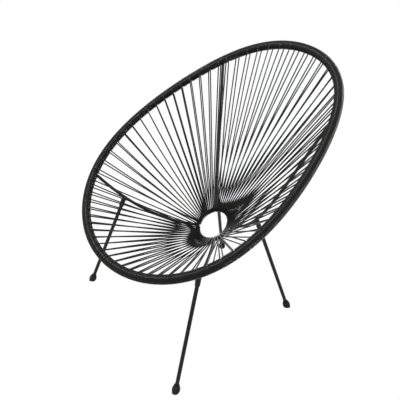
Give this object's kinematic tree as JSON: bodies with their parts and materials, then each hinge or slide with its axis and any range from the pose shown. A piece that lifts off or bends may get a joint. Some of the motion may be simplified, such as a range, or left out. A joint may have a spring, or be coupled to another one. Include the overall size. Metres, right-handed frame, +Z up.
{
  "type": "lounge chair",
  "caption": "Acapulco chair: tilted egg-shaped hoop wound with cord that is strung to a small ring as a deep round seat, on bowed rods and splayed screw-in tube legs with rubber feet",
  "frame": {"origin": "on the floor at the centre of the bounding box seen from above", "axes": "+Z up; the sitter faces -Y with their left hand at +X; the frame is symmetric about X = 0"},
  "size_m": [0.7488, 0.7677, 0.8531],
  "materials": {
    "frame": "satin black powder coat",
    "screw": "black coated steel",
    "foot": "matt black rubber",
    "cord": "satin charcoal PVC cord"
  },
  "bodies": {
    "root": {"hoop": "frame", "ring": "frame", "rod_front_left": "frame", "rod_front_right": "frame", "rod_rear_left": "frame", "rod_rear_right": "frame", "socket_front_left": "frame", "socket_front_right": "frame", "socket_rear_left": "frame", "socket_rear_right": "frame", "leg_front_left": "frame", "leg_front_right": "frame", "leg_rear_left": "frame", "leg_rear_right": "frame", "screw_front_left": "screw", "screw_front_right": "screw", "screw_rear_left": "screw", "screw_rear_right": "screw", "foot_front_left": "foot", "foot_front_right": "foot", "foot_rear_left": "foot", "foot_rear_right": "foot", "web_front_1": "cord", "web_front_2": "cord", "web_front_3": "cord", "web_front_4": "cord", "web_front_5": "cord", "web_left_1": "cord", "web_left_2": "cord", "web_left_3": "cord", "web_left_4": "cord", "web_back_1": "cord", "web_back_2": "cord", "web_back_3": "cord", "web_back_4": "cord", "web_back_5": "cord", "web_right_1": "cord", "web_right_2": "cord", "web_right_3": "cord", "web_right_4": "cord"}
  },
  "joints": []
}
